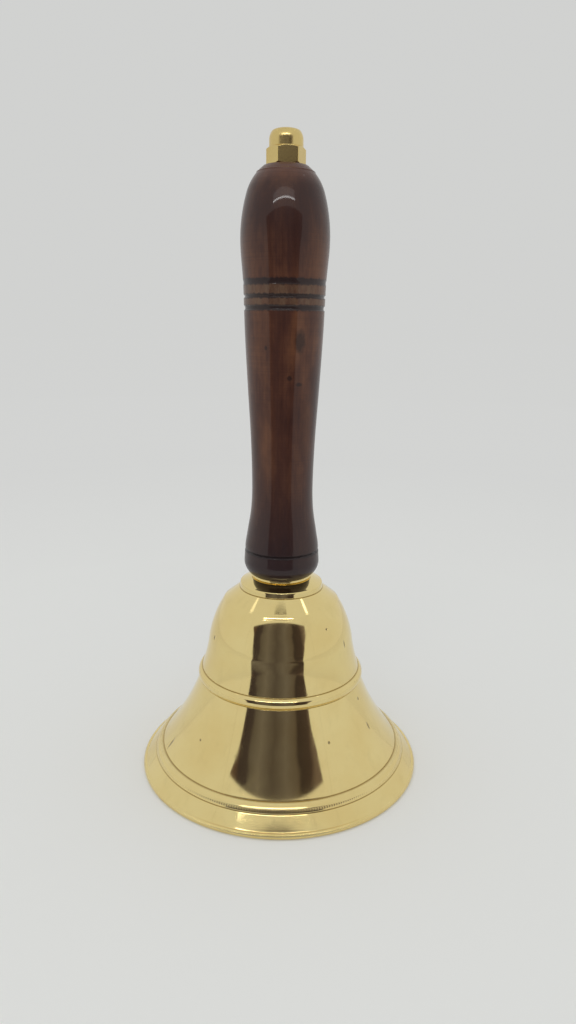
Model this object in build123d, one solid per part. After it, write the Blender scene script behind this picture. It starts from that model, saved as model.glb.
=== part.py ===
from build123d import *
import math
import os

# Hand bell: a turned brass bell on a turned wooden handle, held by one rod, with a free clapper inside.
# Millimetres. +Z is up along the bell's axis. The origin is the centre of the mouth rim's resting plane.

# ---- driving dimensions -------------------------------------------------------------------------

# Bell, outside, from the mouth up. Each pair is (radius, height).
RIM_FOOT = (50.6, 0.0)            # outer edge of the resting face
RIM_WIDEST = (51.1, 0.7)          # widest circle of the bell
RIM_TOP = (49.95, 1.85)           # top edge of the rounded rim
LOWER_BEAD_FOOT = (46.4, 6.0)
LOWER_BEAD_TOP = (43.6, 8.8)
LOWER_BEAD_PROUD = 0.55
FLARE_MIDDLE = (35.1, 21.4)
MIDDLE_BEAD_FOOT = (29.6, 33.9)
MIDDLE_BEAD_TOP = (28.75, 37.7)
MIDDLE_BEAD_PROUD = 1.0
DOME_FOOT_MIDDLE = (27.2, 43.2)  # the dome's wall sweeps in above the middle bead
DOME_WALL = (26.05, 49.5)
DOME_WALL_MIDDLE = (23.9, 57.0)
SHOULDER_FOOT = (20.9, 62.9)      # where the dome turns over towards the crown
SHOULDER_TOP = (19.9, 64.0)
SHOULDER_PROUD = 0.12
CROWN_FOOT = (14.9, 67.9)         # foot of the crown disc
CROWN_SIDE_TOP = (14.75, 69.4)
CROWN_EDGE = (14.2, 70.0)         # top edge of the crown disc's side
CROWN_EDGE_PROUD = 0.15
CROWN_SEAT_Z = 71.6               # flat top of the crown, under the collar
CROWN_SEAT_R = 10.8
GROOVE_HALF = 0.22                # half width and depth of the fine turned lines

# Bell, inside
MOUTH_R = 46.6
MOUTH_CONE_TOP = (38.6, 10.0)
INNER_FLARE_MIDDLE = (32.2, 20.0)
INNER_FLARE_TOP = (26.0, 34.0)
INNER_WALL = (22.8, 49.1)
INNER_WALL_MIDDLE = (21.0, 56.0)
INNER_SHOULDER = (18.3, 61.4)
INNER_CROWN_R = 13.4
INNER_CROWN_Z = 65.2

# Rod and what it clamps
ROD_R = 3.15
ROD_BORE_R = 3.2                  # clearance bore in the collar, washer and crown
ROD_TOP_Z = 215.9
SWIVEL_END_R = 2.1
SWIVEL_END_Z = 54.2
SWIVEL_SHOULDER_Z = 59.75
ROD_CHAMFER = 0.6
COLLAR_R = 10.5
COLLAR_THICK = 1.2
COLLAR_SOFT = 0.25                # how far the collar's side is rounded over
WASHER_R = 7.6
WASHER_THICK = 1.2
CLAMP_NUT_FLATS = 11.1
CLAMP_NUT_THICK = 4.0

# Handle, from the foot up. Each pair is (radius, height).
HANDLE_FOOT_Z = CROWN_SEAT_Z + COLLAR_THICK
HANDLE_FOOT_R = 10.6
HANDLE_FOOT_MIDDLE = (12.6, 75.0)
HANDLE_BULGE = (13.26, 78.4)
NOTCH_Z = 82.0
NOTCH_R = 12.98
HANDLE_TOP_Z = 207.8
HANDLE_TOP_R = 7.2
HANDLE_WAIST = ((12.3, 87.7), (10.95, 96.5), (10.6, 105.0), (11.05, 121.0), (12.1, 138.7), (13.1, 157.0),
                (13.65, 172.5))
HANDLE_WIDEST = (14.54, 185.6)
HANDLE_SHOULDER = (12.55, 199.9)
HANDLE_BORE_R = 3.6
NOTCH_DEPTH = 0.45
# Rings cut into the handle: radius, height, half width and depth of each. The top one is mostly a burnt line.
CUT_RINGS = ((13.4, 164.5, 0.8, 0.45), (13.5, 168.1, 0.6, 0.45), (13.65, 172.5, 0.85, 0.15))

# Acorn nut
NUT_FLATS = 11.1
NUT_HEX_HEIGHT = 5.4
NUT_DOME_OVERLAP = 1.0            # how far the dome's solid reaches down into the hexagon
NUT_DOME_R = 5.42
NUT_DOME_SIDE = 2.3               # height of the dome's upright side above the hexagon
NUT_TAPER_MIDDLE = (5.28, 3.3)    # the dome's outline above that, as (radius, height above the hexagon)
NUT_TAPER_TOP = (4.9, 4.2)
NUT_CORNER_MIDDLE = (4.55, 4.72)
NUT_CAP_FOOT = (4.0, 5.05)
NUT_CAP_MIDDLE = (2.1, 5.54)
NUT_HEIGHT = 11.1
NUT_TIP_R = 0.4                   # tiny flat left by turning on the dome's tip
NUT_TURN = 6.5                    # degrees that the nut stopped past square to the front
NUT_BORE_DEPTH = 8.5

# Clapper and its hanger
PIVOT_Z = 48.8
HANGER_PLATE_Z = 58.0             # underside of the stirrup's top plate
HANGER_THICK = 1.5
HANGER_INNER_HALF = 4.75
HANGER_WIDTH = 8.6
HANGER_CORNER_R = 2.4
PIN_R = 1.6
PIN_HEAD_R = 2.7
PIN_HEAD_THICK = 1.0
RUNNING_GAP = 0.05                # radial play of the pin and of the swivel
THREAD_GAP = 0.03                 # radial play of a nut on its thread
SWIVEL_NUT_FLATS = 7.0
SWIVEL_NUT_THICK = 3.1
SWIVEL_NUT_TOP_Z = 57.75
BARREL_R = 4.0
BARREL_HALF = 4.35
STEM_R = 2.3
BALL_R = 8.5
BALL_Z = 11.0
BALL_THREAD_DEPTH = 10.0
LOCK_NUT_FLATS = 8.0
LOCK_NUT_THICK = 3.2


# ---- helpers ------------------------------------------------------------------------------------

def turned(*edges):
    """Solid of revolution about Z from a closed outline drawn as (radius, height)."""
    outline = make_face(Wire(list(edges)))
    return revolve(Plane.XZ * outline, axis=Axis.Z)


def run(*points):
    """Straight edges through points."""
    return [Line(a, b) for a, b in zip(points, points[1:])]


def bulged(start, end, proud):
    """Arc from start up to end whose middle stands proud of the chord, away from the axis."""
    chord = Vector(*end) - Vector(*start)
    outward = Vector(chord.Y, -chord.X).normalized()
    middle = (Vector(*start) + Vector(*end)) / 2 + outward * proud
    return ThreePointArc(start, middle, end)


def ring_cutter(radius, height, half, depth):
    """V-shaped ring that cuts a fine turned line into an outside surface."""
    return turned(*run((radius + half, height - half), (radius + half, height + half),
                       (radius - depth, height), (radius + half, height - half)))


def plug(radius, low, high):
    """Round bar about the axis between two heights."""
    return Pos(0, 0, low) * Cylinder(radius, high - low, align=(Align.CENTER, Align.CENTER, Align.MIN))


def tube(outer, inner, low, high):
    """Plain ring between two heights."""
    return plug(outer, low, high) - plug(inner, low - 1, high + 1)


def hexagon(flats, low, high, turn=0):
    """Hexagonal bar with the corners turned off at both ends, as on a real nut."""
    section = RegularPolygon(flats / 2, 6, major_radius=False, rotation=turn)
    bar = extrude(Pos(0, 0, low) * section, high - low)
    corner = flats / math.cos(math.radians(30)) / 2
    drop = (corner - flats / 2) * math.tan(math.radians(30))
    blank = turned(*run((0, low), (flats / 2, low), (corner, low + drop), (corner, high - drop),
                        (flats / 2, high), (0, high), (0, low)))
    return bar & blank


# ---- bell ---------------------------------------------------------------------------------------

def bell_shell():
    """Cast and turned bell: thick rim, two beads, conical dome, stepped crown disc with a rod hole."""
    outside = [
        ThreePointArc(RIM_FOOT, RIM_WIDEST, RIM_TOP),
        Line(RIM_TOP, LOWER_BEAD_FOOT),
        bulged(LOWER_BEAD_FOOT, LOWER_BEAD_TOP, LOWER_BEAD_PROUD),
        ThreePointArc(LOWER_BEAD_TOP, FLARE_MIDDLE, MIDDLE_BEAD_FOOT),
        bulged(MIDDLE_BEAD_FOOT, MIDDLE_BEAD_TOP, MIDDLE_BEAD_PROUD),
        ThreePointArc(MIDDLE_BEAD_TOP, DOME_FOOT_MIDDLE, DOME_WALL),
        ThreePointArc(DOME_WALL, DOME_WALL_MIDDLE, SHOULDER_FOOT),
        bulged(SHOULDER_FOOT, SHOULDER_TOP, SHOULDER_PROUD),
        Line(SHOULDER_TOP, CROWN_FOOT),
        Line(CROWN_FOOT, CROWN_SIDE_TOP),
        bulged(CROWN_SIDE_TOP, CROWN_EDGE, CROWN_EDGE_PROUD),
        Line(CROWN_EDGE, (CROWN_SEAT_R, CROWN_SEAT_Z)),
    ]
    centre_hole = run((CROWN_SEAT_R, CROWN_SEAT_Z), (ROD_BORE_R, CROWN_SEAT_Z), (ROD_BORE_R, INNER_CROWN_Z),
                      (INNER_CROWN_R, INNER_CROWN_Z))
    inside = [
        Line((INNER_CROWN_R, INNER_CROWN_Z), INNER_SHOULDER),
        ThreePointArc(INNER_SHOULDER, INNER_WALL_MIDDLE, INNER_WALL),
        Line(INNER_WALL, INNER_FLARE_TOP),
        ThreePointArc(INNER_FLARE_TOP, INNER_FLARE_MIDDLE, MOUTH_CONE_TOP),
        Line(MOUTH_CONE_TOP, (MOUTH_R, 0)),
        Line((MOUTH_R, 0), RIM_FOOT),
    ]
    shell = turned(*outside, *centre_hole, *inside)
    fine_lines = (LOWER_BEAD_FOOT, LOWER_BEAD_TOP, MIDDLE_BEAD_FOOT, MIDDLE_BEAD_TOP, CROWN_FOOT)
    for radius, height in fine_lines:
        shell -= ring_cutter(radius, height, GROOVE_HALF, GROOVE_HALF)
    return shell


# ---- rod and what it clamps ---------------------------------------------------------------------

def tie_rod():
    """Rod from the acorn nut down to the thinner end that the stirrup turns on."""
    swivel_end = run((0, SWIVEL_END_Z), (SWIVEL_END_R - ROD_CHAMFER, SWIVEL_END_Z),
                     (SWIVEL_END_R, SWIVEL_END_Z + ROD_CHAMFER), (SWIVEL_END_R, SWIVEL_SHOULDER_Z),
                     (ROD_R, SWIVEL_SHOULDER_Z))
    rod = run((ROD_R, SWIVEL_SHOULDER_Z), (ROD_R, ROD_TOP_Z - ROD_CHAMFER), (ROD_R - ROD_CHAMFER, ROD_TOP_Z),
              (0, ROD_TOP_Z), (0, SWIVEL_END_Z))
    return turned(*swivel_end, *rod)


def handle_collar():
    """Thin round washer with a softened edge between the handle and the crown."""
    low, high = CROWN_SEAT_Z, HANDLE_FOOT_Z
    edge_r = COLLAR_R - COLLAR_SOFT
    side = ThreePointArc((edge_r, low), (COLLAR_R, (low + high) / 2), (edge_r, high))
    return turned(Line((ROD_BORE_R, low), (edge_r, low)), side,
                  *run((edge_r, high), (ROD_BORE_R, high), (ROD_BORE_R, low)))


def crown_washer():
    """Flat washer under the crown."""
    return tube(WASHER_R, ROD_BORE_R, INNER_CROWN_Z - WASHER_THICK, INNER_CROWN_Z)


def clamp_nut():
    """Nut that pulls the bell and the handle together."""
    high = INNER_CROWN_Z - WASHER_THICK
    low = high - CLAMP_NUT_THICK
    return hexagon(CLAMP_NUT_FLATS, low, high) - plug(ROD_R + THREAD_GAP, low - 1, high + 1)


def acorn_nut():
    """Domed nut on the handle's top, with a blind hole for the rod."""
    foot = HANDLE_TOP_Z
    hex_top = foot + NUT_HEX_HEIGHT
    top = foot + NUT_HEIGHT
    dome_foot = hex_top - NUT_DOME_OVERLAP
    side_top = hex_top + NUT_DOME_SIDE
    rising = (NUT_TAPER_MIDDLE, NUT_TAPER_TOP, NUT_CORNER_MIDDLE, NUT_CAP_FOOT, NUT_CAP_MIDDLE)
    taper_middle, taper_top, corner_middle, cap_foot, cap_middle = [
        (radius, hex_top + rise) for radius, rise in rising]
    core = run((NUT_TIP_R, top), (0, top), (0, dome_foot), (NUT_DOME_R, dome_foot), (NUT_DOME_R, side_top))
    dome = turned(*core, ThreePointArc((NUT_DOME_R, side_top), taper_middle, taper_top),
                  ThreePointArc(taper_top, corner_middle, cap_foot),
                  ThreePointArc(cap_foot, cap_middle, (NUT_TIP_R, top)))
    blank = hexagon(NUT_FLATS, foot, hex_top, NUT_TURN) + dome
    return blank - plug(ROD_R + THREAD_GAP, foot - 1, foot + NUT_BORE_DEPTH)


# ---- handle -------------------------------------------------------------------------------------

def round_groove(surface, height, half, depth):
    """Ring-shaped cutter with a round nose, for a ring cut into the handle's swell."""
    outer = surface + 1
    nose = ThreePointArc((surface, height - half), (surface - depth, height), (surface, height + half))
    return turned(nose, *run((surface, height + half), (outer, height + half), (outer, height - half),
                             (surface, height - half)))


def handle():
    """Turned wooden grip: rounded foot, notch, waist, swell and domed top, bored through for the rod."""
    swell = Spline((NOTCH_R, NOTCH_Z + 0.5), *HANDLE_WAIST, HANDLE_WIDEST, tangents=((0, 1), (0, 1)))
    shoulder = TangentArc(HANDLE_WIDEST, HANDLE_SHOULDER, tangent=(0, 1))
    top = TangentArc(HANDLE_SHOULDER, (HANDLE_TOP_R, HANDLE_TOP_Z), tangent=shoulder % 1)
    foot = ThreePointArc((HANDLE_FOOT_R, HANDLE_FOOT_Z), HANDLE_FOOT_MIDDLE, HANDLE_BULGE)
    notch = run((NOTCH_R + 0.1, NOTCH_Z - 0.5), (NOTCH_R - NOTCH_DEPTH, NOTCH_Z), (NOTCH_R, NOTCH_Z + 0.5))
    bulge = Line(HANDLE_BULGE, (NOTCH_R + 0.1, NOTCH_Z - 0.5))
    bore = run((HANDLE_TOP_R, HANDLE_TOP_Z), (HANDLE_BORE_R, HANDLE_TOP_Z), (HANDLE_BORE_R, HANDLE_FOOT_Z),
               (HANDLE_FOOT_R, HANDLE_FOOT_Z))
    grip = turned(foot, bulge, *notch, swell, shoulder, top, *bore)
    for ring in CUT_RINGS:
        grip -= round_groove(*ring)
    return grip


# ---- clapper and its hanger ---------------------------------------------------------------------

def cross_bar(radius, half):
    """Round bar along X through the pivot, reaching half to each side."""
    return Pos(0, 0, PIVOT_Z) * Rot(0, 90, 0) * Cylinder(radius, 2 * half)


def clapper_hanger():
    """Stirrup bent from strip: a top plate that turns on the rod's end, and two cheeks with pin holes."""
    outer_half = HANGER_INNER_HALF + HANGER_THICK
    plate_top = HANGER_PLATE_Z + HANGER_THICK
    end_r = HANGER_WIDTH / 2
    low = PIVOT_Z - end_r
    on_foot = (Align.CENTER, Align.MIN)
    outer = fillet_top(Rectangle(2 * outer_half, plate_top - low, align=on_foot), HANGER_CORNER_R)
    inner = fillet_top(Rectangle(2 * HANGER_INNER_HALF, HANGER_PLATE_Z - low, align=on_foot),
                       HANGER_CORNER_R - HANGER_THICK)
    bent = Pos(0, 0, low) * extrude(Plane.XZ * (outer - inner), HANGER_WIDTH / 2, both=True)
    cheek_end = Pos(0, 0, PIVOT_Z) * Box(4 * outer_half, HANGER_WIDTH, plate_top - PIVOT_Z,
                                         align=(Align.CENTER, Align.CENTER, Align.MIN))
    strip = bent & (cheek_end + cross_bar(end_r, 2 * outer_half))
    strip -= cross_bar(PIN_R + THREAD_GAP, 2 * outer_half)
    return strip - plug(SWIVEL_END_R + RUNNING_GAP, HANGER_PLATE_Z - 1, plate_top + 1)


def fillet_top(sketch, radius):
    """Round the two upper corners of a rectangle."""
    return fillet(sketch.vertices().group_by(Axis.Y)[-1], radius)


def swivel_nut():
    """Small nut on the rod's end, under the stirrup's plate."""
    low = SWIVEL_NUT_TOP_Z - SWIVEL_NUT_THICK
    bore = plug(SWIVEL_END_R + THREAD_GAP, low - 1, SWIVEL_NUT_TOP_Z + 1)
    return hexagon(SWIVEL_NUT_FLATS, low, SWIVEL_NUT_TOP_Z) - bore


def hanger_pin():
    """Cross pin with a low domed head riveted over each cheek, drawn as (along X, radius)."""
    cheek = HANGER_INNER_HALF + HANGER_THICK
    end = cheek + PIN_HEAD_THICK
    tip_r = PIN_HEAD_R * 0.3
    dome_x, dome_r = cheek + PIN_HEAD_THICK * 0.75, PIN_HEAD_R * 0.75
    outline = make_face(Wire([
        *run((-end, tip_r), (-end, 0), (end, 0), (end, tip_r)),
        ThreePointArc((end, tip_r), (dome_x, dome_r), (cheek, PIN_HEAD_R)),
        *run((cheek, PIN_HEAD_R), (cheek, PIN_R), (-cheek, PIN_R), (-cheek, PIN_HEAD_R)),
        ThreePointArc((-cheek, PIN_HEAD_R), (-dome_x, dome_r), (-end, tip_r)),
    ]))
    return Pos(0, 0, PIVOT_Z) * revolve(outline, axis=Axis.X)


def clapper_stem():
    """Round rod with a cross barrel at the top that rocks on the pin."""
    end = BALL_Z + BALL_R - BALL_THREAD_DEPTH + 0.3
    neck_r = STEM_R + 0.9
    rod = turned(*run((0, PIVOT_Z), (0, end), (STEM_R - 0.5, end), (STEM_R, end + 0.5),
                      (STEM_R, PIVOT_Z - BARREL_R - 3), (neck_r, PIVOT_Z - BARREL_R + 0.8), (neck_r, PIVOT_Z),
                      (0, PIVOT_Z)))
    return rod + cross_bar(BARREL_R, BARREL_HALF) - cross_bar(PIN_R + RUNNING_GAP, 2 * BARREL_HALF)


def ball_flat_z():
    """Height of the small flat on the ball's top that the lock nut sits on."""
    flat_r = LOCK_NUT_FLATS / 2 + 0.2
    return BALL_Z + math.sqrt(BALL_R**2 - flat_r**2)


def clapper_ball():
    """Striking ball with a blind threaded hole and a small flat on top."""
    flat_z = ball_flat_z()
    flat_r = LOCK_NUT_FLATS / 2 + 0.2
    ball = turned(Line((0, flat_z), (flat_r, flat_z)),
                  ThreePointArc((flat_r, flat_z), (BALL_R, BALL_Z), (0, BALL_Z - BALL_R)),
                  Line((0, BALL_Z - BALL_R), (0, flat_z)))
    return ball - plug(STEM_R + THREAD_GAP, BALL_Z + BALL_R - BALL_THREAD_DEPTH, flat_z + 1)


def ball_lock_nut():
    """Small nut that locks the ball on the stem."""
    low = ball_flat_z()
    high = low + LOCK_NUT_THICK
    return hexagon(LOCK_NUT_FLATS, low, high) - plug(STEM_R + THREAD_GAP, low - 1, high + 1)


# ---- files --------------------------------------------------------------------------------------

PIECES = (acorn_nut, handle, handle_collar, bell_shell, tie_rod, crown_washer, clamp_nut, clapper_hanger,
          swivel_nut, hanger_pin, clapper_stem, clapper_ball, ball_lock_nut)

if __name__ == "__main__":
    os.makedirs("parts", exist_ok=True)
    for piece in PIECES:
        export_step(piece(), f"parts/{piece.__name__}.step")
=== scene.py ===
import math
import bmesh
import bpy
from mathutils import Euler, Matrix, Quaternion, Vector, noise


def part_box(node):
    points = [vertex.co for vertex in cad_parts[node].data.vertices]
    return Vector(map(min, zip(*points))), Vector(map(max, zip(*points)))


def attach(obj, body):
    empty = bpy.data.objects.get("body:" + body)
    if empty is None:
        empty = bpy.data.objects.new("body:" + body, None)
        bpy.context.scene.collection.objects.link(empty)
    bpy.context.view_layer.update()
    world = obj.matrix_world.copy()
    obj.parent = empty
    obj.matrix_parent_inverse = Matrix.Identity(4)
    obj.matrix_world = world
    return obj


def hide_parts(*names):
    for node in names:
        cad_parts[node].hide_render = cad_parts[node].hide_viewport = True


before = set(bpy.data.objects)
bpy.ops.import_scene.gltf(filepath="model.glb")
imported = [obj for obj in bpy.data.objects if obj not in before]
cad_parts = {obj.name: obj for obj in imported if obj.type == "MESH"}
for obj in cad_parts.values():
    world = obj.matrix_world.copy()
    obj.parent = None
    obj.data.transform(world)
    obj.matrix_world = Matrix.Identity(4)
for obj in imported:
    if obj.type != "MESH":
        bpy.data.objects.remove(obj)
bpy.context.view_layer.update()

# A turned brass hand bell on a wooden grip. Every visible piece is a detailed mesh that stands for its CAD
# node. Outlines are (radius, height) pairs in millimetres, the same driving dimensions as the CAD source;
# heights that only depend on a neighbour are read from the CAD parts in model.glb.

MM = 0.001
TURN = 2 * math.pi

# Bell, outside
RIM_FOOT = (50.6, 0.0)
RIM_WIDEST = (51.1, 0.7)
RIM_TOP = (49.95, 1.85)
LOWER_BEAD_FOOT = (46.4, 6.0)
LOWER_BEAD_TOP = (43.6, 8.8)
LOWER_BEAD_PROUD = 0.55
FLARE_MIDDLE = (35.1, 21.4)
MIDDLE_BEAD_FOOT = (29.6, 33.9)
MIDDLE_BEAD_TOP = (28.75, 37.7)
MIDDLE_BEAD_PROUD = 1.0
DOME_FOOT_MIDDLE = (27.2, 43.2)
DOME_WALL = (26.05, 49.5)
DOME_WALL_MIDDLE = (23.9, 57.0)
SHOULDER_FOOT = (20.9, 62.9)
SHOULDER_TOP = (19.9, 64.0)
SHOULDER_PROUD = 0.12
CROWN_FOOT = (14.9, 67.9)
CROWN_SIDE_TOP = (14.75, 69.4)
CROWN_EDGE = (14.2, 70.0)
CROWN_EDGE_PROUD = 0.15
CROWN_SEAT = (10.8, 71.6)
FINE_LINES = (LOWER_BEAD_FOOT, LOWER_BEAD_TOP, MIDDLE_BEAD_FOOT, MIDDLE_BEAD_TOP, CROWN_FOOT)
LINE_HALF = 0.15
LINE_DEPTH = 0.2

# Bell, inside
MOUTH_R = 46.6
MOUTH_CONE_TOP = (38.6, 10.0)
INNER_FLARE_MIDDLE = (32.2, 20.0)
INNER_FLARE_TOP = (26.0, 34.0)
INNER_WALL = (22.8, 49.1)
INNER_WALL_MIDDLE = (21.0, 56.0)
INNER_SHOULDER = (18.3, 61.4)
INNER_CROWN_R = 13.4
INNER_CROWN_Z = 65.2
ROD_BORE_R = 3.2

# Handle
HANDLE_FOOT_R = 10.6
HANDLE_FOOT_MIDDLE = (12.6, 75.0)
HANDLE_BULGE = (13.26, 78.4)
NOTCH = (12.98, 82.0)
HANDLE_WAIST = ((12.98, 82.5), (12.3, 87.7), (10.95, 96.5), (10.6, 105.0), (11.05, 121.0), (12.1, 138.7),
                (13.1, 157.0), (13.65, 172.5), (14.54, 185.6))
HANDLE_SHOULDER = (12.55, 199.9)
HANDLE_SEAT_RING = (9.0, 205.9)   # low ridge turned round the nut's seat
HANDLE_TOP_R = 7.2
HANDLE_BORE_R = 3.6
CUT_RINGS = ((164.5, 0.8, 0.42), (168.1, 0.55, 0.42), (172.5, 0.85, 0.16))   # height, half width, depth
BURNT_RINGS = ((172.5, 1.5), (168.1, 1.1), (164.5, 1.35), (NOTCH[1], 0.9))   # height, half width

# Fasteners and clapper
ACORN_FLATS = 11.1
ACORN_HEX = 5.4                   # height of its hexagon
ACORN_TURN = 6.5                  # degrees
ACORN_DOME_R = 5.42
ACORN_DOME_SIDE = 2.3             # this and the heights of the next five are above the hexagon
ACORN_TAPER_MIDDLE = (5.28, 3.3)
ACORN_TAPER_TOP = (4.9, 4.2)
ACORN_CORNER_MIDDLE = (4.55, 4.72)
ACORN_CAP_FOOT = (4.0, 5.05)
ACORN_CAP_MIDDLE = (2.1, 5.54)
ACORN_HOLE_DEPTH = 8.5
CLAMP_FLATS = 11.1
SWIVEL_FLATS = 7.0
LOCK_FLATS = 8.0
ROD_R = 3.15
ROD_PITCH = 1.27
ROD_THREAD_DEPTH = 0.55
CLAMP_THREAD_TOP = 66.0
ACORN_THREAD_FOOT = 204.0
SWIVEL_END_R = 2.1
SWIVEL_PITCH = 0.7
SWIVEL_THREAD_DEPTH = 0.38
SWIVEL_THREAD_TOP = 58.0
SWIVEL_SHOULDER_Z = 59.75
PIVOT_Z = 48.8
STRIP_THICK = 1.5
STRIP_HALF_WIDTH = 4.3
STRIP_BEND_R = 1.65
BARREL_R = 4.0
BARREL_HALF = 4.35
PIN_R = 1.6
STEM_R = 2.3
STEM_PITCH = 0.8
BALL_R = 8.5
BALL_Z = 11.0
PLAY = 0.03                       # between a bar and the nut or ball screwed on it


# ---- outlines -----------------------------------------------------------------------------------

class Outline:
    """Half section drawn with straight runs and arcs, sampled every step millimetres."""

    def __init__(self, start, step):
        self.points = [start]
        self.step = step

    def line(self, *ends):
        for end in ends:
            start = self.points[-1]
            count = max(1, round(math.dist(start, end) / self.step))
            self.points += [tuple(a + (b - a) * (i + 1) / count for a, b in zip(start, end))
                            for i in range(count)]
        return self

    def arc(self, middle, end):
        """Circular arc from the last point through middle to end."""
        a, b, c = complex(*self.points[-1]), complex(*middle), complex(*end)
        w = (c - a) / (b - a)
        centre = a + (b - a) * (w - abs(w) ** 2) / (2j * w.imag)
        spoke = a - centre
        sweep = math.atan2(((c - centre) / spoke).imag, ((c - centre) / spoke).real)
        count = max(3, round(abs(sweep) * abs(spoke) / self.step))
        for i in range(count):
            angle = sweep * (i + 1) / count
            p = centre + spoke * complex(math.cos(angle), math.sin(angle))
            self.points.append((p.real, p.imag))
        return self

    def bulge(self, end, proud):
        """Shallow arc that stands proud of its chord, to the right of the way it is drawn."""
        (ax, ay), (bx, by) = self.points[-1], end
        length = math.dist((ax, ay), end)
        middle = ((ax + bx) / 2 + (by - ay) / length * proud, (ay + by) / 2 - (bx - ax) / length * proud)
        return self.arc(middle, end)

    def tangent(self, end):
        """Arc that leaves along the last stretch and ends at end."""
        (px, py), (ax, ay) = self.points[-2:]
        along = complex(ax - px, ay - py)
        across = 1j * along / abs(along)
        chord = complex(end[0] - ax, end[1] - ay)
        reach = (chord * across.conjugate()).real
        radius = abs(chord) ** 2 / (2 * reach)
        centre = complex(ax, ay) + across * radius
        half_way = complex(ax, ay) + chord / 2 - centre
        middle = centre + half_way / abs(half_way) * abs(radius)
        return self.arc((middle.real, middle.imag), end)

    def curve(self, radius_at, low, high, step):
        """Side whose radius is a function of its height."""
        count = max(1, round((high - low) / step))
        heights = [low + (high - low) * (i + 1) / count for i in range(count)]
        self.points += [(radius_at(z), z) for z in heights]
        return self


def towards(a, b, distance):
    share = distance / math.dist(a, b)
    return tuple(p + (q - p) * share for p, q in zip(a, b))


def scored(points, places, half=LINE_HALF, depth=LINE_DEPTH):
    """Cut a fine V line into an outline that runs upwards on the outside, at each of these places."""
    for place in places:
        i = min(range(1, len(points) - 1), key=lambda k: math.dist(points[k], place))
        before = towards(points[i], points[i - 1], half)
        after = towards(points[i], points[i + 1], half)
        along = Vector(after) - Vector(before)
        inward = Vector((-along.y, along.x)).normalized()
        points[i:i + 1] = [before, tuple(Vector(points[i]) + inward * depth), after]
    return points


def softened(points, reach=0.1, sharp=14, closed=True):
    """Round every corner of an outline that turns by more than sharp degrees."""
    made = []
    count = len(points)
    for i, here in enumerate(points):
        if not closed and i in (0, count - 1):
            made.append(here)
            continue
        back, ahead = points[i - 1], points[(i + 1) % count]
        if min(math.dist(here, back), math.dist(here, ahead)) < 1e-6:
            continue
        turn = (Vector(here) - Vector(back)).angle(Vector(ahead) - Vector(here))
        if math.degrees(turn) < sharp:
            made.append(here)
            continue
        start = towards(here, back, min(reach, math.dist(here, back) * 0.45))
        end = towards(here, ahead, min(reach, math.dist(here, ahead) * 0.45))
        for t in (0, 0.25, 0.5, 0.75, 1):
            made.append(tuple(a * (1 - t) ** 2 + 2 * h * t * (1 - t) + b * t * t
                              for a, h, b in zip(start, here, end)))
    return made


# ---- meshes -------------------------------------------------------------------------------------

def piece(name, vertices, faces, sharp=None):
    """Smooth-shaded object from millimetre vertices, with its faces turned outwards."""
    mesh = bpy.data.meshes.new(name)
    mesh.from_pydata([tuple(c * MM for c in v) for v in vertices], [], faces)
    shape = bmesh.new()
    shape.from_mesh(mesh)
    bmesh.ops.recalc_face_normals(shape, faces=shape.faces)
    shape.to_mesh(mesh)
    shape.free()
    mesh.shade_smooth()
    if sharp is not None:
        mesh.set_sharp_from_angle(angle=math.radians(sharp))
    made = bpy.data.objects.new(name, mesh)
    bpy.context.scene.collection.objects.link(made)
    return made


def lathe(name, outline, segments, closed=True, radius=None, sharp=None):
    """Turn an outline about the Z axis. radius(r, z, angle) may change a point's radius on the way round."""
    vertices, rings = [], []
    for r, z in outline:
        if r < 1e-6:
            rings.append([len(vertices)] * segments)
            vertices.append((0, 0, z))
            continue
        rings.append(list(range(len(vertices), len(vertices) + segments)))
        for i in range(segments):
            angle = TURN * i / segments
            reach = radius(r, z, angle) if radius else r
            vertices.append((reach * math.cos(angle), reach * math.sin(angle), z))
    faces = []
    for low, high in zip(rings, rings[1:] + (rings[:1] if closed else [])):
        for i in range(segments):
            j = (i + 1) % segments
            corners = list(dict.fromkeys((low[i], low[j], high[j], high[i])))
            if len(corners) > 2:
                faces.append(corners)
    return piece(name, vertices, faces, sharp)


def carve(target, *steps, sharp=35):
    """Join or cut a piece with helper pieces, which are used up. Each step is (operation, helper)."""
    for operation, tool in steps:
        modifier = target.modifiers.new(tool.name, "BOOLEAN")
        modifier.operation = operation
        modifier.object = tool
        modifier.solver = "EXACT"
    bpy.context.view_layer.update()
    solid = target.evaluated_get(bpy.context.evaluated_depsgraph_get())
    mesh = bpy.data.meshes.new_from_object(solid)
    target.modifiers.clear()
    target.data = mesh
    mesh.set_sharp_from_angle(angle=math.radians(sharp))
    for _, tool in steps:
        bpy.data.objects.remove(tool)
    return target


def drill(name, radius, low, high):
    """Plain cylinder that cuts a round hole."""
    return lathe(name, [(0, low), (radius, low), (radius, high), (0, high)], 64, closed=False)


def laid_along_x(made):
    """Turn a piece built about Z so that it lies along X through the clapper's pivot."""
    made.data.transform(Matrix.Translation((0, 0, PIVOT_Z * MM)) @ Matrix.Rotation(math.pi / 2, 4, "Y"))
    return made


def finish_piece(made, body, slot, materials, *nodes):
    """Ride on a body, stand for CAD nodes and take materials."""
    for material in materials:
        made.data.materials.append(material)
    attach(made, body)
    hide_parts(*nodes)


def hex_radius(flats, turn):
    """Function that trims a turned blank to a hexagon with slightly rounded corners."""
    power = 70
    sides = [math.radians(60 * k + 30 + turn) for k in range(6)]

    def radius(r, z, angle):
        total = (1 / r) ** power
        for side in sides:
            reach = math.cos(angle - side)
            if reach > 0:
                total += (reach * 2 / flats) ** power
        return total ** (-1 / power)
    return radius


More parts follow.
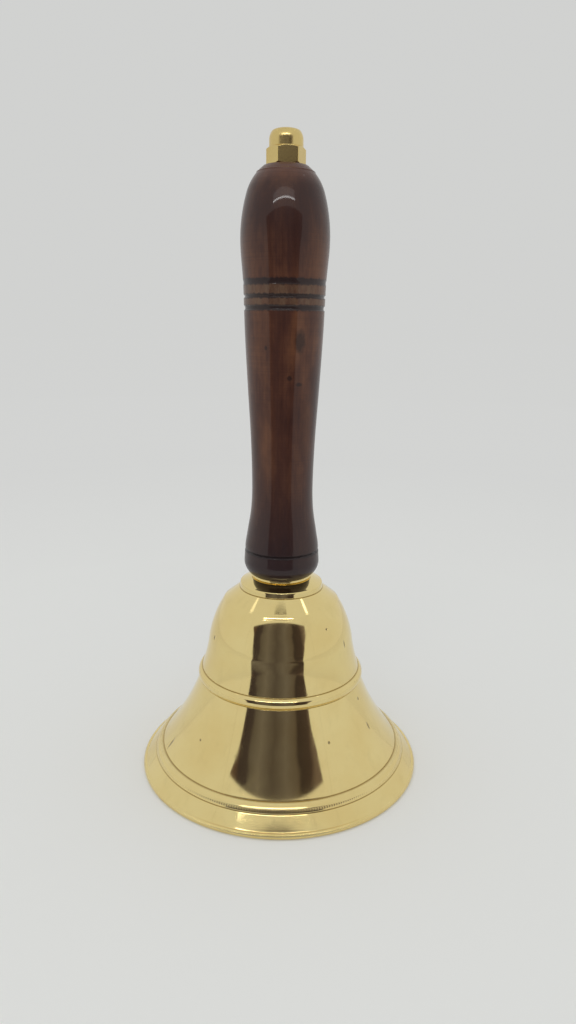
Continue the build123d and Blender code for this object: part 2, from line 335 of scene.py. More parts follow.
def nut_blank(flats, low, high):
    """Outline of a nut's blank from the lower face's edge to the upper one, its corners turned off."""
    edge_step, side_step = 0.08, 0.6
    corner = flats / math.cos(math.radians(30)) / 2
    drop = (corner - flats / 2) * math.tan(math.radians(30)) * 1.15
    face = flats / 2 * 0.985
    side = Outline((face, low), edge_step).line((corner * 1.01, low + drop))
    side.step = side_step
    side.line((corner * 1.01, high - drop))
    side.step = edge_step
    return side.line((face, high))


def hex_nut(name, node, flats, bore):
    """Hexagon nut with turned corners and a countersunk, threaded bore."""
    low, high = (c.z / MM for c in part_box(node))
    sink = 0.45
    pitch = 1.0
    thread_depth = 0.25
    outline = nut_blank(flats, low, high)
    outline.line((bore + sink, high), (bore, high - sink))
    outline.step = pitch / 8
    outline.line((bore, low + sink), (bore + sink, low))
    trim = hex_radius(flats, 0)

    def radius(r, z, angle):
        if abs(r - bore) < 1e-6 and low + sink < z < high - sink:
            return bore + thread_depth * (0.5 + 0.5 * math.cos(TURN * (z / pitch) - angle))
        return trim(r, z, angle)
    return lathe(name, softened(outline.points, 0.06), 240, radius=radius, sharp=40)


# ---- bell ---------------------------------------------------------------------------------------

def brass_bell():
    outside = Outline(RIM_FOOT, 0.42).arc(RIM_WIDEST, RIM_TOP)
    outside.line(LOWER_BEAD_FOOT).bulge(LOWER_BEAD_TOP, LOWER_BEAD_PROUD)
    outside.arc(FLARE_MIDDLE, MIDDLE_BEAD_FOOT).bulge(MIDDLE_BEAD_TOP, MIDDLE_BEAD_PROUD)
    outside.arc(DOME_FOOT_MIDDLE, DOME_WALL).arc(DOME_WALL_MIDDLE, SHOULDER_FOOT)
    outside.bulge(SHOULDER_TOP, SHOULDER_PROUD).line(CROWN_FOOT, CROWN_SIDE_TOP)
    outside.bulge(CROWN_EDGE, CROWN_EDGE_PROUD).line(CROWN_SEAT)
    points = scored(outside.points, FINE_LINES)
    inside = Outline(CROWN_SEAT, 1.0).line((ROD_BORE_R, CROWN_SEAT[1]), (ROD_BORE_R, INNER_CROWN_Z))
    inside.line((INNER_CROWN_R, INNER_CROWN_Z), INNER_SHOULDER).arc(INNER_WALL_MIDDLE, INNER_WALL)
    inside.line(INNER_FLARE_TOP).arc(INNER_FLARE_MIDDLE, MOUTH_CONE_TOP).line((MOUTH_R, 0), RIM_FOOT)
    points += inside.points[1:-1]
    made = lathe("brass_bell", softened(points), 224)
    for face in made.data.polygons:
        x, y, z = face.center
        face.material_index = int(is_inside(math.hypot(x, y) / MM, z / MM))
    return made


def is_inside(r, z):
    """Whether a point of the shell's skin belongs to the hollow's side of a line halfway through the wall."""
    halfway = ((MOUTH_R + 1.5, 0), (MOUTH_CONE_TOP[0] + 2, 10), (INNER_FLARE_TOP[0] + 1.5, 34),
               (INNER_WALL[0] + 1.5, 49), (INNER_SHOULDER[0] + 1.2, 61.4), (INNER_CROWN_R, 66.5))
    for (r0, z0), (r1, z1) in zip(halfway, halfway[1:]):
        if z0 <= z <= z1:
            return r < r0 + (r1 - r0) * (z - z0) / (z1 - z0)
    return False


def brass_collar():
    low, high = (c.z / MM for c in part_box("handle_collar"))
    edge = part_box("handle_collar")[1].x / MM
    soft = 0.25
    outline = Outline((ROD_BORE_R, low), 0.3).line((edge - soft, low))
    outline.step = 0.1
    outline.arc((edge, (low + high) / 2), (edge - soft, high))
    outline.step = 0.4
    outline.line((ROD_BORE_R, high), (ROD_BORE_R, low))
    return lathe("brass_collar", softened(outline.points[:-1], 0.08), 192)


def brass_acorn_nut():
    low, high = (c.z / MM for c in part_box("acorn_nut"))
    high -= 0.01
    hex_top = low + ACORN_HEX
    outline = nut_blank(ACORN_FLATS, low, hex_top)
    outline.step = 0.15

    def on_hex(point):
        return point[0], hex_top + point[1]
    outline.line(on_hex((ACORN_DOME_R + 0.02, 0.02)), on_hex((ACORN_DOME_R, ACORN_DOME_SIDE)))
    outline.arc(on_hex(ACORN_TAPER_MIDDLE), on_hex(ACORN_TAPER_TOP))
    outline.arc(on_hex(ACORN_CORNER_MIDDLE), on_hex(ACORN_CAP_FOOT)).arc(on_hex(ACORN_CAP_MIDDLE), (0, high))
    bore = ROD_R + 0.05
    hole_top = low + ACORN_HOLE_DEPTH
    outline.points.append((0, hole_top + 0.9))
    outline.line((bore, hole_top), (bore, low + 0.5), (bore + 0.5, low), outline.points[0])
    trim = hex_radius(ACORN_FLATS, ACORN_TURN)

    def radius(r, z, angle):
        return trim(r, z, angle) if z < hex_top + 0.01 else r
    return lathe("brass_acorn_nut", softened(outline.points[:-1], 0.08), 288, radius=radius, sharp=50)


# ---- handle -------------------------------------------------------------------------------------

def waist_radius(z):
    """Radius of the grip between its notch and its widest circle: a smooth curve through HANDLE_WAIST."""
    count = len(HANDLE_WAIST)

    def slope(k):
        if k in (0, count - 1):
            return 0.0
        (r0, z0), (r1, z1) = HANDLE_WAIST[k - 1], HANDLE_WAIST[k + 1]
        return (r1 - r0) / (z1 - z0)
    for k in range(count - 1):
        (r0, z0), (r1, z1) = HANDLE_WAIST[k], HANDLE_WAIST[k + 1]
        if z <= z1:
            t = min(1.0, max(0.0, (z - z0) / (z1 - z0)))
            span = z1 - z0
            return (r0 * (1 + 2 * t) * (1 - t) ** 2 + slope(k) * span * t * (1 - t) ** 2
                    + r1 * t * t * (3 - 2 * t) + slope(k + 1) * span * t * t * (t - 1))
    return HANDLE_WAIST[-1][0]


def rough(angle, z, around, up, seed):
    """Smooth noise on the grip's skin, -1 to 1."""
    return noise.noise(Vector((math.cos(angle) * around, math.sin(angle) * around, z * up + seed)))


def grip_radius(r, z, angle):
    """Wood that is a little out of round, with hand-cut rings whose edges are chipped."""
    if r < HANDLE_BORE_R + 2 or not HANDLE_FOOT_MIDDLE[1] < z < HANDLE_SHOULDER[1]:
        return r
    reach = r + 0.035 * rough(angle, z, 1.3, 0.03, 5)
    for k, (height, half, depth) in enumerate(CUT_RINGS):
        edge = 0.16 * rough(angle, 0, 5, 1, 11 * k) + 0.07 * rough(angle, 0, 21, 1, 31 * k)
        t = abs(z - height - edge * 0.5) / (half * (1 + edge * 0.8))
        if t < 1:
            reach -= depth * (0.9 + 0.5 * edge) * (1 - t * t) ** 0.7
        elif t < 1.7 and depth > 0.3:
            reach -= 0.22 * max(0.0, rough(angle, z, 16, 0.9, 7) - 0.3) * (1.7 - t) / 0.7
    t = (z - NOTCH[1]) / 0.55
    if abs(t) < 1:
        reach -= 0.16 * (0.5 + rough(angle, 0, 9, 1, 3)) * (1 - t * t)
    return reach


def turned_handle():
    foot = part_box("handle")[0].z / MM
    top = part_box("handle")[1].z / MM
    rings_low, rings_high = CUT_RINGS[0][0] - 2, CUT_RINGS[-1][0] + 1.5
    outline = Outline((HANDLE_FOOT_R, foot), 0.35).arc(HANDLE_FOOT_MIDDLE, HANDLE_BULGE)
    notch_r, notch_z = NOTCH
    outline.step = 0.2
    outline.line((notch_r + 0.1, notch_z - 0.5), (notch_r - 0.4, notch_z), (notch_r, notch_z + 0.5))
    outline.curve(waist_radius, notch_z + 0.5, rings_low, 0.8)
    outline.curve(waist_radius, rings_low, rings_high, 0.12)
    outline.curve(waist_radius, rings_high, HANDLE_WAIST[-1][1], 0.7)
    outline.step = 0.4
    outline.tangent(HANDLE_SHOULDER).tangent((HANDLE_TOP_R, top))
    outline.step = 4
    outline.line((HANDLE_BORE_R, top), (HANDLE_BORE_R, foot), (HANDLE_FOOT_R, foot))
    points = scored(outline.points[:-1], [HANDLE_SEAT_RING], half=0.38, depth=-0.2)
    return lathe("turned_handle", softened(points, 0.15), 216, radius=grip_radius)


# ---- rod, nuts and clapper ----------------------------------------------------------------------

def thread(stretches):
    """Radius function that cuts screw threads into a bar; each stretch is (low, high, pitch, depth)."""
    def radius(r, z, angle):
        for low, high, pitch, depth in stretches:
            if low < z < high:
                return r - depth * (0.5 + 0.5 * math.cos(TURN * z / pitch - angle))
        return r
    return radius


def threaded_tie_rod():
    low, high = (c.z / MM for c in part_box("tie_rod"))
    tip = 0.6
    fine, coarse = SWIVEL_PITCH / 8, ROD_PITCH / 8
    outline = Outline((0, low), 1).line((SWIVEL_END_R - tip, low))
    outline.step = fine
    outline.line((SWIVEL_END_R, low + tip), (SWIVEL_END_R, SWIVEL_SHOULDER_Z), (ROD_R - 0.3, SWIVEL_SHOULDER_Z))
    outline.step = coarse
    outline.line((ROD_R, SWIVEL_SHOULDER_Z + 0.3), (ROD_R, CLAMP_THREAD_TOP))
    outline.step = 3
    outline.line((ROD_R, ACORN_THREAD_FOOT))
    outline.step = coarse
    outline.line((ROD_R, high - tip), (ROD_R - tip, high))
    outline.step = 1
    outline.line((0, high))
    cut = thread(((low + tip, SWIVEL_THREAD_TOP, SWIVEL_PITCH, SWIVEL_THREAD_DEPTH),
                  (SWIVEL_SHOULDER_Z + 0.3, CLAMP_THREAD_TOP, ROD_PITCH, ROD_THREAD_DEPTH),
                  (ACORN_THREAD_FOOT, high - tip, ROD_PITCH, ROD_THREAD_DEPTH)))
    return lathe("threaded_tie_rod", outline.points, 64, closed=False, radius=cut, sharp=50)


def steel_crown_washer():
    low, high = (c.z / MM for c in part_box("crown_washer"))
    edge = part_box("crown_washer")[1].x / MM
    outline = Outline((ROD_BORE_R, low), 0.5)
    outline.line((edge, low), (edge, high), (ROD_BORE_R, high), (ROD_BORE_R, low))
    return lathe("steel_crown_washer", softened(outline.points[:-1], 0.2), 144)


def bent_stirrup():
    """Strip with rounded edges swept down one cheek, across the top and down the other."""
    low, high = (c.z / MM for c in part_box("clapper_hanger"))
    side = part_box("clapper_hanger")[1].x / MM - STRIP_THICK / 2
    plate = high - STRIP_THICK / 2
    right = [(side, PIVOT_Z - STRIP_HALF_WIDTH * math.cos(a * math.pi / 40)) for a in range(21)]
    right[0] = (side, low + 0.02)
    path = Outline(right[-1], 0.5).line((side, plate - STRIP_BEND_R))
    slant = STRIP_BEND_R * (1 - math.sqrt(0.5))
    path.step = 0.25
    path.arc((side - slant, plate - slant), (side - STRIP_BEND_R, plate))
    path.step = 0.5
    path.line((0, plate))
    half = right[:-1] + path.points
    centre = half + [(-x, z) for x, z in reversed(half[:-1])]
    soft = 0.22
    corner = [(math.cos(k * math.pi / 8), math.sin(k * math.pi / 8)) for k in range(5)]
    vertices, rings = [], []
    for i, (x, z) in enumerate(centre):
        back, ahead = centre[max(0, i - 1)], centre[min(len(centre) - 1, i + 1)]
        along = (Vector(ahead) - Vector(back)).normalized()
        out = Vector((along.y, -along.x))
        under = max(0.0, PIVOT_Z - z)
        width = max(soft * 1.5, math.sqrt(max(0.0, STRIP_HALF_WIDTH ** 2 - under ** 2)))
        ring = []
        for quarter in range(4):
            for c, s in corner:
                c, s = ((c, s), (-s, c), (-c, -s), (s, -c))[quarter]
                across = math.copysign(width - soft, c) + soft * c
                deep = math.copysign(STRIP_THICK / 2 - soft, s) + soft * s
                if abs(c) < 1e-9:
                    across = (width - soft) * (1 if quarter in (0, 3) else -1)
                if abs(s) < 1e-9:
                    deep = (STRIP_THICK / 2 - soft) * (1 if quarter in (0, 1) else -1)
                ring.append(len(vertices))
                vertices.append((x + out.x * deep, across, z + out.y * deep))
        rings.append(ring)
    count = len(rings[0])
    faces = [(a[k], a[(k + 1) % count], b[(k + 1) % count], b[k])
             for a, b in zip(rings, rings[1:]) for k in range(count)]
    faces += [tuple(rings[0]), tuple(rings[-1])]
    made = piece("bent_stirrup", vertices, faces)
    pin_hole = laid_along_x(drill("pin_hole", PIN_R + 0.04, -20, 20))
    swivel_hole = drill("swivel_hole", SWIVEL_END_R + 0.05, plate - 3, plate + 3)
    return carve(made, ("DIFFERENCE", pin_hole), ("DIFFERENCE", swivel_hole))


def riveted_pin():
    """Cross pin whose ends were peened over into low domed heads."""
    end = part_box("hanger_pin")[1].x / MM
    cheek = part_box("clapper_hanger")[1].x / MM
    head_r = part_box("hanger_pin")[1].y / MM
    outline = Outline((0, -end), 0.12).line((head_r * 0.3, -end))
    outline.arc((head_r * 0.75, -(cheek + (end - cheek) * 0.75)), (head_r, -cheek))
    outline.line((PIN_R, -cheek))
    outline.step = 1
    outline.line((PIN_R, cheek))
    outline.step = 0.12
    outline.line((head_r, cheek)).arc((head_r * 0.75, cheek + (end - cheek) * 0.75), (head_r * 0.3, end))
    outline.line((0, end))

    def peened(r, z, angle):
        if abs(z) < cheek + 0.05 or r < 0.2:
            return r
        return r * (1 + 0.025 * rough(angle, z, 2.2, 0.6, 40))
    return laid_along_x(lathe("riveted_pin", softened(outline.points, 0.05, closed=False), 96, closed=False,
                              radius=peened))


def clapper_rod():
    """Turned stem joined to the cross barrel that rocks on the pin."""
    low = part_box("clapper_stem")[0].z / MM
    nut_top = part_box("ball_lock_nut")[1].z / MM
    neck_r = STEM_R + 0.9
    neck_top = PIVOT_Z - PIN_R - 0.8
    thread_top = nut_top + 2.2
    outline = Outline((0, low), 1).line((STEM_R - 0.5, low))
    outline.step = STEM_PITCH / 8
    outline.line((STEM_R, low + 0.5), (STEM_R, thread_top))
    outline.step = 0.6
    outline.line((STEM_R, PIVOT_Z - BARREL_R - 3))
    outline.step = 0.3
    outline.arc((STEM_R + 0.22, PIVOT_Z - BARREL_R - 1), (neck_r, PIVOT_Z - BARREL_R + 0.8))
    outline.line((neck_r, neck_top), (0, neck_top))
    stem = lathe("clapper_rod", softened(outline.points, 0.1, closed=False), 72, closed=False,
                 radius=thread(((low + 0.5, thread_top, STEM_PITCH, 0.4),)))
    barrel_side = Outline((0, -BARREL_HALF), 1).line((BARREL_R, -BARREL_HALF), (BARREL_R, BARREL_HALF),
                                                     (0, BARREL_HALF))
    barrel = laid_along_x(lathe("barrel", softened(barrel_side.points, 0.3, closed=False), 96, closed=False))
    bore = laid_along_x(drill("barrel_bore", PIN_R + 0.05, -20, 20))
    return carve(stem, ("UNION", barrel), ("DIFFERENCE", bore))


def striking_ball():
    """Turned ball with a small flat for its lock nut; blows have slightly flattened it round its middle."""
    flat_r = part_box("ball_lock_nut")[1].y / MM + 0.2
    flat_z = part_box("clapper_ball")[1].z / MM
    hole_r = STEM_R + PLAY
    bottom = BALL_Z - BALL_R
    outline = Outline((0, bottom), 0.25).arc((BALL_R, BALL_Z), (flat_r, flat_z))
    outline.line((hole_r + 0.3, flat_z), (hole_r, flat_z - 0.3))
    outline.step = 1
    outline.line((hole_r, bottom + 7), (0, bottom + 6))

    def struck(r, z, angle):
        if r < flat_r or z > flat_z - 0.01:
            return r
        band = math.exp(-((z - BALL_Z) / 3.0) ** 2)
        return r - band * 0.12 * max(0.0, 0.2 + rough(angle, z, 3.0, 0.35, 9))
    return lathe("striking_ball", softened(outline.points, 0.12, closed=False), 192, closed=False,
                 radius=struck)


# ---- materials ----------------------------------------------------------------------------------

def set_stops(ramp, stops):
    """Give a colour ramp its stops; each is (position, number or colour)."""
    points = ramp.elements
    while len(points) < len(stops):
        points.new(0.5)
    for point, (position, colour) in zip(points, stops):
        point.position = position
        point.color = (colour,) * 3 + (1,) if isinstance(colour, (int, float)) else (*colour, 1)


class Shader:
    """Small helper that builds one node material around a Principled surface."""

    def __init__(self, name, **constants):
        self.material = bpy.data.materials.new(name)
        self.material.use_nodes = True
        self.tree = self.material.node_tree
        self.tree.nodes.clear()
        self.surface = self.node("ShaderNodeBsdfPrincipled", **constants)
        output = self.node("ShaderNodeOutputMaterial")
        self.tree.links.new(self.surface.outputs[0], output.inputs[0])
        self.place = self.node("ShaderNodeTexCoord").outputs["Object"]
        split = self.node("ShaderNodeSeparateXYZ", Vector=self.scaled(1 / MM))
        self.x, self.y, self.z = split.outputs
        squares = self.math("ADD", self.math("MULTIPLY", self.x, self.x), self.math("MULTIPLY", self.y, self.y))
        self.r = self.math("SQRT", squares)
        self.angle = self.math("ARCTAN2", self.y, self.x)

    def node(self, kind, settings=None, **inputs):
        made = self.tree.nodes.new(kind)
        for key, value in (settings or {}).items():
            setattr(made, key, value)
        for key, value in inputs.items():
            self.feed(made.inputs[key.replace("_", " ")], value)
        return made

    def feed(self, socket, value):
        if isinstance(value, bpy.types.NodeSocket):
            self.tree.links.new(value, socket)
        else:
            socket.default_value = value

    def math(self, operation, a, b=0.0, clamp=False):
        made = self.node("ShaderNodeMath", {"operation": operation, "use_clamp": clamp})
        self.feed(made.inputs[0], a)
        self.feed(made.inputs[1], b)
        return made.outputs[0]

    def scaled(self, *size):
        """Object coordinates times a size, the same or one for each axis."""
        size = size * 3 if len(size) == 1 else size
        made = self.node("ShaderNodeVectorMath", {"operation": "MULTIPLY"})
        self.feed(made.inputs[0], self.place)
        made.inputs[1].default_value = size
        return made.outputs[0]

    def joined(self, x, y, z):
        return self.node("ShaderNodeCombineXYZ", X=x, Y=y, Z=z).outputs[0]

    def noise(self, vector, detail=3.0, roughness=0.5):
        made = self.node("ShaderNodeTexNoise", Vector=vector, Scale=1.0, Detail=detail, Roughness=roughness)
        return made.outputs["Fac"]

    def ramp(self, value, *stops):
        """Piecewise value or colour; each stop is (position, number or colour)."""
        made = self.node("ShaderNodeValToRGB", Fac=value)
        set_stops(made.color_ramp, stops)
        return made.outputs["Color"]

    def mix(self, share, a, b):
        made = self.node("ShaderNodeMix", {"data_type": "RGBA"})
        self.feed(made.inputs[0], share)
        for socket, value in ((made.inputs[6], a), (made.inputs[7], b)):
            self.feed(socket, value if isinstance(value, bpy.types.NodeSocket) else (*value, 1))
        return made.outputs[2]

    def near(self, value, centre, half):
        """1 where value is at centre, falling to 0 half away."""
        away = self.math("ABSOLUTE", self.math("SUBTRACT", value, centre))
        return self.math("SUBTRACT", 1.0, self.math("DIVIDE", away, half), clamp=True)

    def mark(self, degrees, height, wide, tall):
        """Small blot: wide in degrees round the axis, tall in millimetres, soft at its edge."""
        around = self.near(self.angle, math.radians(degrees), math.radians(wide))
        return self.math("MULTIPLY", around, self.near(self.z, height, tall))

    def total(self, *values):
        result = values[0]
        for value in values[1:]:
            result = self.math("ADD", result, value, clamp=True)
        return result

    def bump(self, *heights):
        """Normal from (height, strength, distance) layers."""
        normal = None
        for height, strength, distance in heights:
            made = self.node("ShaderNodeBump", Height=height, Strength=strength, Distance=distance)
            if normal is not None:
                self.tree.links.new(normal, made.inputs["Normal"])
            normal = made.outputs["Normal"]
        return normal

    def finish(self, **inputs):
        for key, value in inputs.items():
            self.feed(self.surface.inputs[key.replace("_", " ")], value)
        return self.material


def polished_brass(name, pale, deep, shine=0.05, lines=(), nicks=(), chatter=None):
    """Buffed brass: cloudy tint, fine turned rings, smears, pin holes, nicks and tarnish in scored lines.

    chatter is (waves in one turn, ((height, half width of a band), ...)).
    """
    smear_brown, pit_brown = (0.45, 0.33, 0.14), (0.12, 0.08, 0.03)
    tarnish_brown, nick_brown = (0.22, 0.14, 0.04), (0.16, 0.11, 0.05)
    s = Shader(name, Metallic=1.0)
    clouds = s.noise(s.scaled(60), detail=4)
    tint = s.mix(s.ramp(clouds, (0.35, 0.0), (0.7, 1.0)), pale, deep)
    across = s.joined(s.math("MULTIPLY", s.r, 2.6), s.math("MULTIPLY", s.z, 2.6),
                      s.math("MULTIPLY", s.x, 0.01))
    rings = s.noise(across, detail=5, roughness=0.7)
    smears = s.noise(s.scaled(220, 220, 90), detail=5, roughness=0.65)
    smudge = s.ramp(smears, (0.52, 0.0), (0.75, 1.0))
    pits = s.node("ShaderNodeTexVoronoi", Vector=s.scaled(1 / MM), Scale=0.11, Randomness=1.0)
    pit = s.ramp(pits.outputs["Distance"], (0.012, 1.0), (0.022, 0.0))
    tint = s.mix(s.math("MULTIPLY", smudge, 0.10), tint, smear_brown)
    tint = s.mix(s.math("MULTIPLY", pit, 0.8), tint, pit_brown)
    layers = [(rings, 0.05, 0.00002), (s.noise(s.scaled(35), detail=2), 0.10, 0.0004)]
    if lines:
        tarnish = s.total(*[s.near(s.z, height, 0.25) for height in lines])
        tint = s.mix(s.math("MULTIPLY", tarnish, 0.6), tint, tarnish_brown)
    if nicks:
        jagged = s.math("MULTIPLY", s.noise(s.scaled(2500), detail=2), 1.1)
        nick = s.ramp(s.math("MULTIPLY", s.total(*[s.mark(*place) for place in nicks]), jagged),
                      (0.12, 0.0), (0.3, 1.0))
        tint = s.mix(s.math("MULTIPLY", nick, 0.75), tint, nick_brown)
        layers.append((s.math("MULTIPLY", nick, -1.0), 0.8, 0.0002))
    if chatter:
        count, bands = chatter
        wave = s.math("SINE", s.math("MULTIPLY", s.angle, count))
        where = s.total(*[s.near(s.z, height, half) for height, half in bands])
        layers.append((s.math("MULTIPLY", wave, where), 1.0, 0.00006))
    dull = s.math("ADD", s.math("MULTIPLY", rings, 0.04), s.math("MULTIPLY", smudge, 0.07))
    dull = s.math("ADD", dull, s.math("MULTIPLY", pit, 0.3))
    return s.finish(Base_Color=tint, Roughness=s.math("ADD", dull, shine), Normal=s.bump(*layers))


def turned_brass_inside():
    """Unpolished inner skin with coarse tool rings, dull and browned."""
    s = Shader("turned_brass_inside", Metallic=1.0)
    stain = s.noise(s.scaled(45), detail=6, roughness=0.6)
    across = s.joined(s.math("MULTIPLY", s.r, 1.1), s.math("MULTIPLY", s.z, 1.1),
                      s.math("MULTIPLY", s.y, 0.015))
    rings = s.noise(across, detail=6, roughness=0.75)
    tint = s.mix(s.ramp(stain, (0.35, 0.0), (0.68, 1.0)), (0.62, 0.46, 0.19), (0.36, 0.24, 0.10))
    tint = s.mix(s.math("MULTIPLY", rings, 0.35), tint, (0.75, 0.58, 0.28))
    roughness = s.math("ADD", s.math("MULTIPLY", stain, 0.2), s.math("MULTIPLY", rings, 0.15))
    normal = s.bump((rings, 0.5, 0.00012), (stain, 0.15, 0.0003))
    return s.finish(Base_Color=tint, Roughness=s.math("ADD", roughness, 0.16), Normal=normal)


STAIN_DARK = (0.036, 0.011, 0.008)
STAIN_MIDDLE = (0.066, 0.021, 0.011)
STAIN_PALE = (0.120, 0.044, 0.019)
FOOT_DARKER_TONE = (0.022, 0.012, 0.014)
SHOULDER_DARKER_TONE = (0.026, 0.008, 0.007)
PAINTED_SEAT_HIGHLIGHT = (0.15, 0.060, 0.038)    # painted highlight on the lacquered top round the nut
STAIN_PORES = (0.02, 0.006, 0.004)
STAIN_TURNING = (0.03, 0.010, 0.007)
STAIN_RUBBED = (0.16, 0.062, 0.026)
STAIN_KNOT = (0.016, 0.006, 0.005)
STAIN_BETWEEN = (0.125, 0.072, 0.042)
BURNT = (0.014, 0.007, 0.008)
# Marks on the grip and the bell: degrees round the axis, height, half width in degrees, half height
RUBBED = ((-47, 129, 16, 13), (-58, 142, 9, 7), (-120, 120, 22, 16))
KNOTS = ((-66, 154, 13, 5.5), (-81, 142.5, 6, 1.2), (-66, 140.5, 9, 1.0), (-117, 152, 4, 1.2))
NICKS = ((-156, 51.6, 1.6, 1.3), (-30, 50.7, 1.2, 2.2), (-26, 30.1, 1.3, 0.9), (-27, 20.8, 1.0, 2.0),
         (-161, 11.5, 1.0, 3.0), (-61, 22.4, 1.1, 0.7), (-48, 58.1, 1.4, 0.6), (-139, 19.1, 1.0, 0.6))


def stained_wood():
    """Close-grained hardwood under dark red stain and gloss lacquer, burnt black in its cut rings."""
    s = Shader("stained_wood", Specular_IOR_Level=0.15, Coat_Weight=0.5, Coat_Roughness=0.05, Coat_IOR=1.5)
    wander = s.noise(s.scaled(25, 25, 9), detail=3)
    grain_place = s.joined(s.math("ADD", s.math("MULTIPLY", s.x, 1.1), s.math("MULTIPLY", wander, 3.0)),
                           s.math("MULTIPLY", s.y, 1.1), s.math("MULTIPLY", s.z, 0.05))
    grain = s.noise(grain_place, detail=5, roughness=0.6)
    pores = s.noise(s.joined(s.math("MULTIPLY", s.x, 6), s.math("MULTIPLY", s.y, 6),
                             s.math("MULTIPLY", s.z, 0.35)), detail=3, roughness=0.6)
    patches = s.noise(s.scaled(70, 70, 32), detail=4, roughness=0.6)
    rings = s.noise(s.joined(s.math("MULTIPLY", s.z, 1.9), s.math("MULTIPLY", s.x, 0.02), 0.0), detail=4)
    share = s.math("ADD", s.math("MULTIPLY", grain, 0.22), s.math("MULTIPLY", patches, 0.78))
    tint = s.ramp(share, (0.36, STAIN_DARK), (0.50, STAIN_MIDDLE), (0.64, STAIN_PALE))
    height = s.math("DIVIDE", s.z, 220.0)
    # Darker towards the foot of the grip.
    low_dark = s.ramp(height, (0.34, 0.95), (0.40, 0.65), (0.50, 0.2), (0.58, 0.0))
    tint = s.mix(low_dark, tint, FOOT_DARKER_TONE)
    # Darker from the upper swell to the top, in patches.
    high_dark = s.math("MULTIPLY", s.ramp(height, (0.79, 0.0), (0.86, 0.8)),
                       s.ramp(patches, (0.35, 1.0), (0.65, 0.5)))
    tint = s.mix(high_dark, tint, SHOULDER_DARKER_TONE)
    # Painted highlight: the grip's top round the nut is paler, where the lamps catch the lacquer.
    tint = s.mix(s.ramp(height, (0.915, 0.0), (0.935, 0.5)), tint, PAINTED_SEAT_HIGHLIGHT)
    tint = s.mix(s.math("MULTIPLY", s.ramp(pores, (0.55, 0.0), (0.75, 1.0)), 0.18), tint, STAIN_PORES)
    tint = s.mix(s.math("MULTIPLY", s.ramp(rings, (0.45, 0.0), (0.7, 1.0)), 0.25), tint, STAIN_TURNING)
    paler = s.math("MULTIPLY", s.total(*[s.mark(*place) for place in RUBBED]),
                   s.ramp(patches, (0.3, 0.2), (0.6, 1.0)))
    tint = s.mix(s.math("MULTIPLY", paler, 0.7), tint, STAIN_RUBBED)
    knot = s.total(*[s.mark(*place) for place in KNOTS])
    torn = s.math("ADD", s.noise(s.scaled(600), detail=3), 0.25)
    knot = s.ramp(s.math("MULTIPLY", knot, torn), (0.14, 0.0), (0.4, 1.0))
    tint = s.mix(s.math("MULTIPLY", knot, 0.75), tint, STAIN_KNOT)
    edge = s.math("MULTIPLY", s.math("SUBTRACT", s.noise(s.scaled(900, 900, 250), detail=3), 0.5), 1.1)
    wavy = s.math("ADD", s.z, edge)
    between = s.math("MULTIPLY", s.ramp(s.near(s.z, 168.2, 6.5), (0.25, 0.0), (0.5, 1.0)),
                     s.ramp(s.noise(s.scaled(500, 500, 160), detail=4, roughness=0.7), (0.35, 0.2), (0.6, 0.8)))
    tint = s.mix(between, tint, STAIN_BETWEEN)
    burnt = s.ramp(s.total(*[s.near(wavy, *ring) for ring in BURNT_RINGS]), (0.15, 0.0), (0.5, 1.0))
    tint = s.mix(s.math("MULTIPLY", burnt, 0.88), tint, BURNT)
    return s.finish(Base_Color=tint, Roughness=s.math("ADD", s.math("MULTIPLY", grain, 0.2), 0.35),
                    Normal=s.bump((pores, 0.04, 0.0001), (s.noise(s.scaled(120), detail=3), 0.10, 0.0003),
                                  (rings, 0.08, 0.0001), (knot, 0.3, 0.0002)))


def bright_steel(name, light, dark, shine):
    """Plated or bare steel with brushing, cloudy plating and specks of dirt."""
    s = Shader(name, Metallic=1.0)
    clouds = s.noise(s.scaled(240), detail=4)
    brushing = s.noise(s.scaled(2500, 2500, 260), detail=3, roughness=0.7)
    specks = s.ramp(s.noise(s.scaled(1500), detail=2), (0.68, 0.0), (0.76, 1.0))
    tint = s.mix(clouds, light, dark)
    tint = s.mix(s.math("MULTIPLY", specks, 0.5), tint, (0.10, 0.08, 0.06))
    roughness = s.math("ADD", s.math("MULTIPLY", brushing, 0.2), s.math("MULTIPLY", clouds, 0.12))
    return s.finish(Base_Color=tint, Roughness=s.math("ADD", roughness, shine),
                    Normal=s.bump((brushing, 0.12, 0.00005)))


# ---- assembly -----------------------------------------------------------------------------------

BRASS_PALE = (0.87, 0.71, 0.33)
BRASS_DEEP = (0.83, 0.65, 0.28)
CHATTER = (330, ((8.4, 0.6), (7.0, 0.4), (1.6, 0.4)))
bell_skin = polished_brass("bell_brass", BRASS_PALE, BRASS_DEEP, lines=[z for _, z in FINE_LINES],
                           nicks=NICKS, chatter=CHATTER)
plain_skin = polished_brass("collar_brass", BRASS_PALE, BRASS_DEEP)
nut_skin = polished_brass("nut_brass", (0.74, 0.57, 0.23), (0.64, 0.47, 0.18), shine=0.2)
ball_skin = polished_brass("ball_brass", (0.66, 0.50, 0.22), (0.48, 0.34, 0.14), shine=0.2)
inner_skin = turned_brass_inside()
wood = stained_wood()
plated = bright_steel("plated_steel", (0.66, 0.66, 0.64), (0.48, 0.48, 0.46), 0.14)
bare = bright_steel("bare_steel", (0.52, 0.50, 0.47), (0.34, 0.32, 0.30), 0.22)

